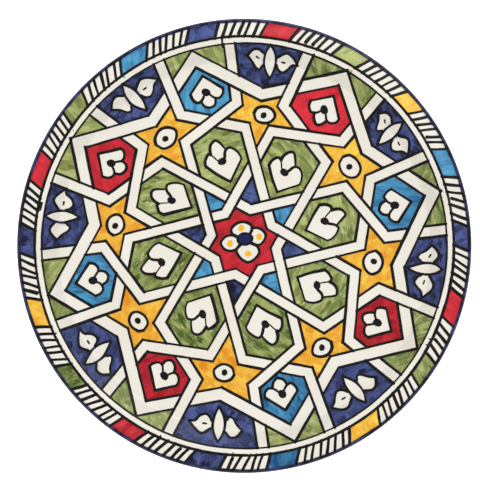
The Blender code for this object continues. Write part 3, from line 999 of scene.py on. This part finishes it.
def butterfly(sector, lines, rng):
    """White leaf between two wings: draws their lines and returns three bare outlines."""
    place = frame_at(STAR_AXIS + 45 * sector)
    span = BUTTERFLY_SPANS[sector]

    def at(clockwise, outward):
        return place(clockwise * span, BUTTERFLY_REACH + (outward - BUTTERFLY_REACH) * (span + 1) / 2)

    near = by_hand(at, rng, (rng.uniform(-0.5, 0.5), rng.uniform(-0.6, 0.4)))
    top, foot = near((-1.8, 154.0), (0.7, 128.2), stray=0.4)
    leaf_left = near((-4.8, 147.6), (-5.1, 140.5), (-2.9, 134.0))
    leaf_right = near((1.6, 148.0), (3.3, 141.5), (2.9, 134.5))
    tip_left, tip_right = near((-18.3, 143.2), (20.1, 141.6), stray=0.5)
    up_left = near((-14.6, 147.8), (-10.3, 149.2), (-5.9, 146.2))
    low_left = near((-13.6, 139.6), (-10.6, 135.6), (-7.9, 134.4), (-6.0, 137.4))
    up_right = near((14.9, 147.0), (9.8, 149.0), (4.2, 145.4))
    low_right = near((15.9, 140.5), (12.9, 136.6), (9.4, 134.6), (6.0, 136.4), (4.2, 139.4))
    side_left = smooth([top] + leaf_left + [foot])
    side_right = smooth([top] + leaf_right + [foot])
    wing_left = smooth([tip_left] + up_left)
    under_left = smooth([tip_left] + low_left)
    wing_right = smooth([tip_right] + up_right)
    under_right = smooth([tip_right] + low_right)
    strokes(lines, rng, (side_left, 1.7, 2.0), (side_right, 1.8, 1.9), (wing_left, 2.4, 1.8),
            (under_left, 2.0, 1.6), (wing_right, 1.7, 2.3), (under_right, 1.8, 1.9))
    if sector < 3:
        strokes(lines, rng, (near((-11.3, 143.6), (-9.3, 142.6), stray=0.2), 1.4, 1.2))
    strokes(lines, rng, (near((8.0, 141.9), (10.2, 141.7), stray=0.2), 1.3, 1.5))
    return [side_left + side_right[::-1][1:-1], wing_left + under_left[::-1][:-1],
            wing_right + under_right[::-1][:-1]]


# An eye's outline, as shares of half its width and height
EYE = [(-1, 0.05), (-0.72, 0.66), (-0.05, 1), (0.66, 0.74), (1, 0.02), (0.7, -0.66), (0.05, -1),
       (-0.66, -0.74)]


def eye(sector, lines, rng):
    """White eye in a star's middle: draws its lines and returns its bare outline."""
    at = frame_at(STAR_AXIS + 45 * sector)
    wide, tall = (9.2, 7.6) if sector in (0, 1, 3) else (8.2, 6.6)
    shift = (rng.uniform(-0.6, 1.2), 100.6 + rng.uniform(-0.6, 0.8))
    points = by_hand(at, rng, shift)(*[(v * wide, u * tall) for v, u in EYE])
    outline = smooth(points + [points[0]])
    brush(lines, outline, 2.4 * MM, 1.8 * MM, rng, 0.1 * MM)
    pupil = at(shift[0] + rng.uniform(-0.8, 0.8), shift[1] + rng.uniform(-0.8, 0.6))
    blot(lines, pupil, 2.4 * MM, rng)
    return outline[:-1]


# Petals of the hub's flower, each a curve from the heart round its outside and back, in millimetres
PETALS = [
    [(4.9, 3.4), (7.4, 1.6), (11.5, 0.7), (15.1, 4.0), (16.5, 8.1), (14.4, 11.7), (10.0, 13.9), (5.6, 13.5)],
    [(-4.3, 5.6), (-8.9, 7.9), (-14.1, 7.1), (-18.0, 2.5), (-15.6, -2.2), (-11.0, -3.9), (-6.4, -2.7),
     (-3.4, 1.2)],
    [(-2.0, 1.3), (-5.9, -3.2), (-4.3, -7.8), (-0.7, -11.2), (3.4, -12.6), (8.0, -10.1), (11.5, -5.2),
     (10.0, -0.6), (4.9, 1.9)],
    [(-4.3, 6.6), (-9.2, 9.3), (-9.8, 13.2), (-6.4, 16.8), (-1.3, 18.5), (3.9, 17.1), (6.2, 13.7),
     (4.2, 8.6)],
]
HEART = Vector((0.6, 5.4)) * MM


def flower(lines, dabs, heart, rng):
    """The flower of four petals in the hub: returns their bare outlines."""
    outlines = []
    for petal in PETALS:
        curve = smooth([Vector(point) * MM for point in petal])
        brush(lines, curve, 2.1 * MM, 2.3 * MM, rng, 0.1 * MM)
        centre = sum(curve, Vector((0, 0))) / len(curve)
        blot(dabs, centre, 2.4 * MM, rng, 1.06)
        outlines.append(curve + [HEART])
    blot(lines, HEART, 5.9 * MM, rng, 1.12, 0.02 * MM, 0.1)
    blot(heart, HEART, 4.0 * MM, rng, 1.15, 0.07 * MM, 0.1)
    return outlines


# ---- painted pieces


# How much paler, or with a minus darker, each sector's coats are: partly the paint's own unevenness, partly
# painted shade that keeps the top sectors paler and the bottom ones darker
TONES_AND_SHADE = {
    "kite": [0.15, 0.2, 0.25, 0.2, 0.0, 0.15, -0.25, 0.25],
    "shield": [-0.02, 0.08, 0.06, 0.14, 0.03, -0.08, -0.12, -0.16],
    "star": [-0.02, 0.1, 0.05, 0.0, -0.1, -0.12, -0.12, 0.0],
    "hexagon": [-0.18, 0.05, 0.25, 0.15, 0.0, 0.0, -0.18, -0.15],
    "corner": [-0.02, -0.12, 0.04, 0.14, 0.2, -0.03, 0.0, 0.12],
}
FLAT_STEP = 3 * MM  # between a coat's points on the flat floor
CURVED_STEP = 1.4 * MM


def painted_fields(lines, enamels):
    rng = Random(7)

    def field(name, colour, outline, holes, step, direction, tone_and_shade, *nodes):
        edge = uneven(outline, 0.25 * MM, rng)
        solid = coat(edge, holes, step, radians(direction), tone_and_shade, rng)
        finished(name, solid, *enamels[colour], *nodes)

    dabs, heart = bmesh.new(), bmesh.new()
    petals = flower(lines["flower"], dabs, heart, rng)
    field("red_hub", "red", hub_star(), petals, FLAT_STEP, 35, 0.0, "hub_star")
    for sector in range(SECTORS):
        number = sector + 1
        even = sector % 2 == 0
        axis = 45 * sector
        # each sector's tones, which carry painted shade as well as the paint's own unevenness
        tone_and_shade = {kind: tones[sector] for kind, tones in TONES_AND_SHADE.items()}
        field(f"painted_kite_{number}", "navy" if even else "turquoise", kite(sector), [], FLAT_STEP,
              axis + 60, tone_and_shade["kite"], f"kite_{number}")
        bare = tulip(sector, lines["tulips"], rng)
        field(f"painted_shield_{number}", "green", shield(sector), [bare], FLAT_STEP,
              axis + TULIP_AXIS + rng.uniform(30, 100), tone_and_shade["shield"], f"shield_{number}")
        bare = eye(sector, lines["eyes"], rng)
        field(f"painted_star_{number}", "yellow", star(sector), [bare], FLAT_STEP,
              axis + rng.uniform(0, 60), tone_and_shade["star"], f"star_{number}")
        bare = chevron(sector, lines["chevrons"], rng)
        field(f"painted_hexagon_{number}", "red" if even else "turquoise", hexagon(sector), [bare],
              CURVED_STEP, axis + CHEVRON_AXIS + rng.uniform(-50, 50), tone_and_shade["hexagon"], f"hexagon_{number}")
        bare = butterfly(sector, lines["butterflies"], rng)
        field(f"painted_butterfly_field_{number}", "navy", butterfly_field(sector), bare, CURVED_STEP,
              axis + rng.uniform(40, 100), 0.0, f"butterfly_field_{number}")
        for side, word in ((-1, "left"), (1, "right")):
            field(f"ring_corner_{word}_{number}", "green", ring_corner(sector, side), [], CURVED_STEP,
                  axis + rng.uniform(-20, 60), tone_and_shade["corner"] + rng.uniform(-0.05, 0.05))
    finished("flower_dabs", dabs, *enamels["dab"])
    finished("flower_heart", heart, *enamels["heart"])


# The black pieces: the name of each, and the nodes that it replaces
LINES = {
    "straps": ["strapwork_lines", "strapwork_outline"],
    "inner": ["inner_ring", "inner_ring_line"],
    "outer": ["outer_ring", "outer_ring_line"],
    "tulips": ["tulip_lines"],
    "eyes": ["eye_lines"],
    "chevrons": ["chevron_lines"],
    "butterflies": ["butterfly_lines"],
    "flower": ["flower_lines"],
    "border": ["border_strokes"],
}


def line_pieces(lines, black):
    rng = Random(23)
    for sector in range(SECTORS):
        for line in straps(sector):
            for a, b in zip(line, line[1:]):
                reach = (a + b).length / 2 / INNER_RING
                width = LINE_WIDTH * rng.uniform(0.86, 1.26) * (1 + 0.18 * reach)
                over = (b - a).normalized() * rng.uniform(0, 0.4) * MM
                brush(lines["straps"], [a - over, b + over], width, width * rng.uniform(0.88, 1.08), rng)
    rings = (("inner", INNER_RING, INNER_RING_WIDTH), ("outer", OUTER_RING, OUTER_RING_WIDTH))
    for key, radius, width in rings:
        for part in range(4):
            start = 90 * part + rng.uniform(-6, 6)
            end = 90 * (part + 1) + 7
            for _ in range(8):  # spare draws, which leave the later strokes their shapes
                rng.random()
            strays = [noise.noise(Vector((i / 9, part, radius))) * 0.35 * MM for i in range(61)]
            path = [polar(start + (end - start) * i / 60, radius + stray) for i, stray in enumerate(strays)]
            brush(lines[key], path, width * 1.25, width * 1.05, rng, 0.1 * MM, 1.8 * MM)
    ring_marks(lines, rng)
    for key, solid in lines.items():
        name, *nodes = LINES[key]
        finished(name, solid, black, "black_line", *nodes)


def ring_marks(lines, rng):
    """Slips of the loaded brush beside the ring lines: places are degrees clockwise from the top."""
    brush(lines["inner"], [polar(353.7, 153.4 * MM), polar(353.9, 160.6 * MM)], 1.1 * MM, 1.4 * MM, rng)
    brush(lines["outer"], [polar(280 + i, 159.3 * MM) for i in range(3)], 1.6 * MM, 2.4 * MM, rng)
    for place in (116.6, 118.4, 183, 203.7, 245):
        reach = rng.uniform(1.6, 2.3) * MM
        path = [polar(place, OUTER_RING), polar(place + 0.1, OUTER_RING - reach)]
        brush(lines["outer"], path, 1.5 * MM, 1.1 * MM, rng)


# Drops that fell on the white ring: colour, degrees clockwise from the top, millimetres from the middle
DROPS = [
    ("red", 8.0, 162.4), ("green", 31.5, 157.6), ("green", 38.5, 157.6), ("navy", 68.4, 160.4),
    ("green", 304.0, 158.5), ("turquoise", 324.5, 159.0),
]


def drops(enamels):
    rng = Random(5)
    for number, (colour, place, radius) in enumerate(DROPS, 1):
        solid = bmesh.new()
        blot(solid, polar(place, radius * MM), rng.uniform(0.5, 0.9) * MM, rng, 1.3, -0.06 * MM)
        toning = solid.verts.layers.float.new("tone_and_shade")
        edging = solid.verts.layers.float.new("edge")
        for vert in solid.verts:
            vert[toning] = 0.4
            vert[edging] = 3.0
        finished(f"drop_{number}", solid, *enamels[colour])


# Blocks of the border: colour, where it starts and ends in degrees clockwise from the top, and its tone,
# partly the paint's own unevenness and partly painted shade: paler round the top of the rim, darker round the
# bottom
BLOCKS = [
    ("red", 5.0, 13.3, 0.3), ("green", 25.3, 33.0, 0.4), ("yellow", 45.5, 52.0, 0.3),
    ("turquoise", 63.5, 71.5, 0.1), ("navy", 84.0, 90.5, 0.2), ("red", 102.2, 110.4, 0.2),
    ("green", 121.0, 128.0, 0.0), ("yellow", 141.6, 151.0, 0.1), ("turquoise", 165.6, 173.6, -0.3),
    ("navy", 185.6, 194.2, -0.1), ("red", 208.4, 216.0, -0.1), ("green", 229.4, 236.6, -0.3),
    ("yellow", 248.0, 255.8, 0.1), ("navy", 267.4, 275.0, 0.0), ("red", 286.2, 294.5, 0.2),
    ("green", 305.6, 312.7, 0.0), ("turquoise", 325.3, 333.3, 0.2), ("navy", 344.7, 352.7, 0.3),
]
LEAN = 1.9  # degrees by which a border stroke's outer end lies clockwise of its inner end


def border(lines, enamels):
    rng = Random(41)
    for number, (colour, start, end, tone_and_shade) in enumerate(BLOCKS, 1):
        lean = LEAN + rng.uniform(-0.3, 0.3)
        spill = 0.9 if number == 1 else rng.uniform(-0.1, 0.25)
        shares = [i / 8 for i in range(9)]
        inner = [polar(start - lean / 2 + (end - start) * share, OUTER_RING) for share in shares]
        outer = [polar(start + lean / 2 + (end + spill - start) * share, LIP_EDGE + 0.2 * MM)
                 for share in shares]
        edge = uneven(inner + outer[::-1], 0.2 * MM, rng)
        direction = radians(90 - (start + end) / 2 - 20 + rng.uniform(-15, 15))
        # the block's tone paints shade onto it as well as the paint's own unevenness
        solid = coat(edge[::-1], [], 1.6 * MM, direction, tone_and_shade, rng)
        finished(f"border_block_{number}", solid, *enamels[colour])
        following = BLOCKS[number % len(BLOCKS)][1] + (360 if number == len(BLOCKS) else 0)
        border_strokes(lines, end, following, rng)


def border_strokes(lines, start, end, rng):
    """The black strokes from one block's edge to the next block's edge."""
    count = round((end - start) / 1.95) + 1
    for i in range(count):
        outermost = i in (0, count - 1)
        middle = start + (end - start) * i / (count - 1)
        if not outermost:
            middle += rng.uniform(-0.22, 0.22)
        lean = LEAN + rng.uniform(-0.5, 0.4)
        short = not outermost and rng.random() < 0.14
        foot = OUTER_RING + (2.2 * MM if short else -0.3 * MM)
        width = rng.uniform(2.0, 2.6) * MM
        halfway = (OUTER_RING + LIP_EDGE) / 2
        drawn_in = lean / 2 * (halfway - foot) / (halfway - OUTER_RING)
        path = [polar(middle - drawn_in, foot), polar(middle + rng.uniform(-0.1, 0.1), halfway),
                polar(middle + lean / 2, LIP_EDGE + 0.6 * MM)]
        brush(lines, smooth(path, 5), width * (1.15 if short else 0.95), width, rng, 0.1 * MM)


# ---- studio


VIEW_WIDTH = 368.9 * MM  # seen by the camera, which looks straight down
VIEW_CENTRE = (-3.3 * MM, 4.5 * MM)
VIEW_DISTANCE = 4.0


def studio():
    mesh = bpy.data.meshes.new("studio_floor")
    grid = bmesh.new()
    bmesh.ops.create_grid(grid, x_segments=16, y_segments=16, size=4.0)
    grid.to_mesh(mesh)
    grid.free()
    mesh.materials.append(studio_floor())
    floor = bpy.data.objects.new("studio_floor", mesh)
    floor.location.z = -0.3 * MM
    bpy.context.scene.collection.objects.link(floor)

    world = bpy.data.worlds.new("studio_light")
    world.use_nodes = True
    world.node_tree.nodes["Background"].inputs["Color"].default_value = (1, 1, 1, 1)
    world.node_tree.nodes["Background"].inputs["Strength"].default_value = 0.48
    bpy.context.scene.world = world

    softbox("key_light", (1.0, 1.5, 2.4), 2.0, 2.0, 16)
    softbox("window_light", (1.3, 2.6, 0.6), 2.8, 1.2, 9)
    fills = (("top_fill", (0.9, 1.3, 2.6), 5), ("low_fill", (-0.9, -1.3, 2.6), 25),
             ("left_fill", (-1.4, 0.6, 2.6), 8), ("right_fill", (1.4, -0.6, 2.6), 8))
    for name, place, power in fills:
        softbox(name, place, 1.4, 1.4, power).visible_glossy = False

    camera = bpy.data.objects.new("camera", bpy.data.cameras.new("camera"))
    bpy.context.scene.collection.objects.link(camera)
    camera.location = (*VIEW_CENTRE, VIEW_DISTANCE + CREST_Z)
    camera.data.lens = camera.data.sensor_width * VIEW_DISTANCE / VIEW_WIDTH
    camera.data.clip_end = 50
    bpy.context.scene.camera = camera
    bpy.context.scene.view_settings.view_transform = "Standard"


def softbox(name, place, width, height, power):
    light = bpy.data.lights.new(name, "AREA")
    light.shape = "RECTANGLE"
    light.size = width
    light.size_y = height
    light.energy = power
    box = bpy.data.objects.new(name, light)
    box.location = place
    box.rotation_euler = (-Vector(place)).to_track_quat("-Z", "Y").to_euler()
    bpy.context.scene.collection.objects.link(box)
    return box


def main():
    white, black = white_glaze(), black_line()
    enamels = coloured_enamels()
    lines = {key: bmesh.new() for key in LINES}
    turned_pieces(bare_clay(), white, cobalt_lip())
    painted_fields(lines, enamels)
    border(lines["border"], enamels)
    drops(enamels)
    line_pieces(lines, black)
    studio()


main()
